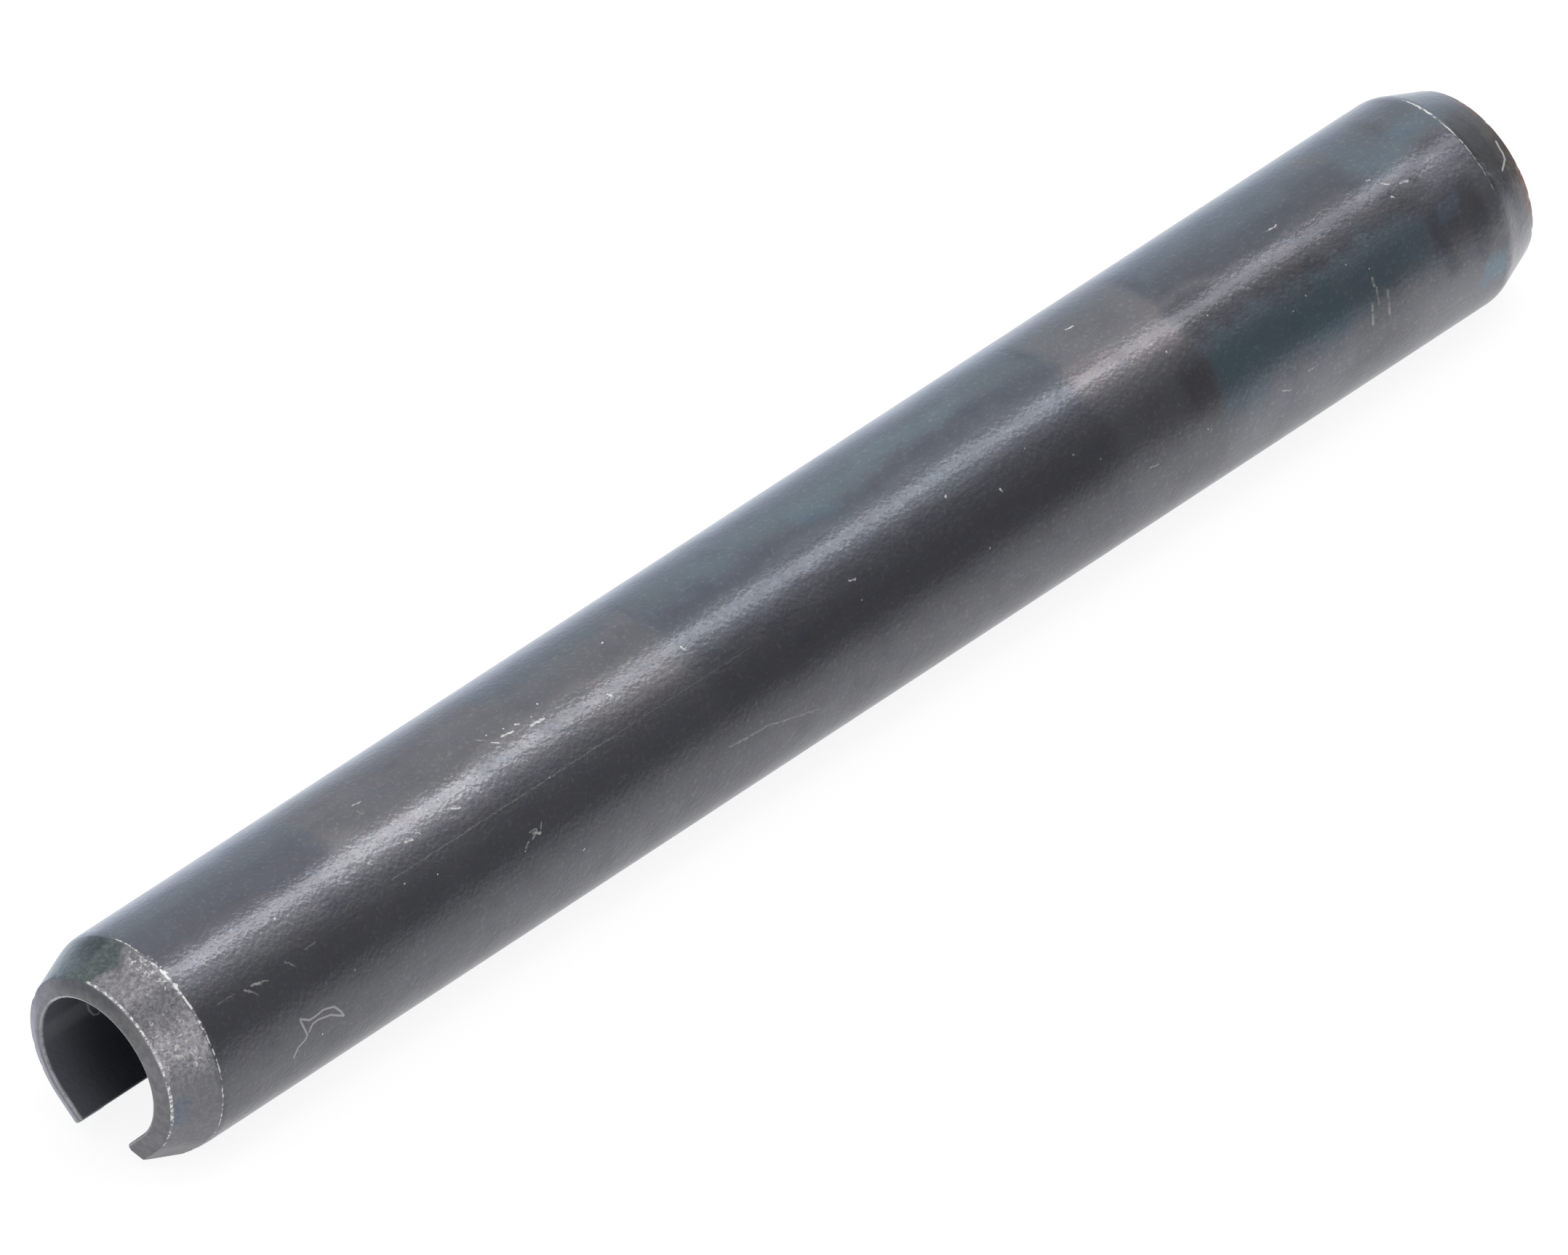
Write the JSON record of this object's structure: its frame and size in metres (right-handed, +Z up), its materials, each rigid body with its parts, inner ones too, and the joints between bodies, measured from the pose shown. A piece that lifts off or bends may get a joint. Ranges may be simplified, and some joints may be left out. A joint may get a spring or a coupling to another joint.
{
  "type": "spring roll pin",
  "caption": "Slotted spring roll pin rolled from blued spring steel strip, chamfered at both ends, driven into a drilled hole to lock or locate parts.",
  "frame": {"origin": "on the axis of the roll, halfway along the pin", "axes": "+X along the pin, +Z up, away from the slot, which faces down; the pin lies on the two lips of its slot"},
  "size_m": [0.07, 0.0086, 0.0082],
  "materials": {
    "spring_pin": "blued, oil-dark, with heat tints and light scuffs"
  },
  "bodies": {
    "root": {"spring_pin": "spring_pin"}
  },
  "joints": []
}
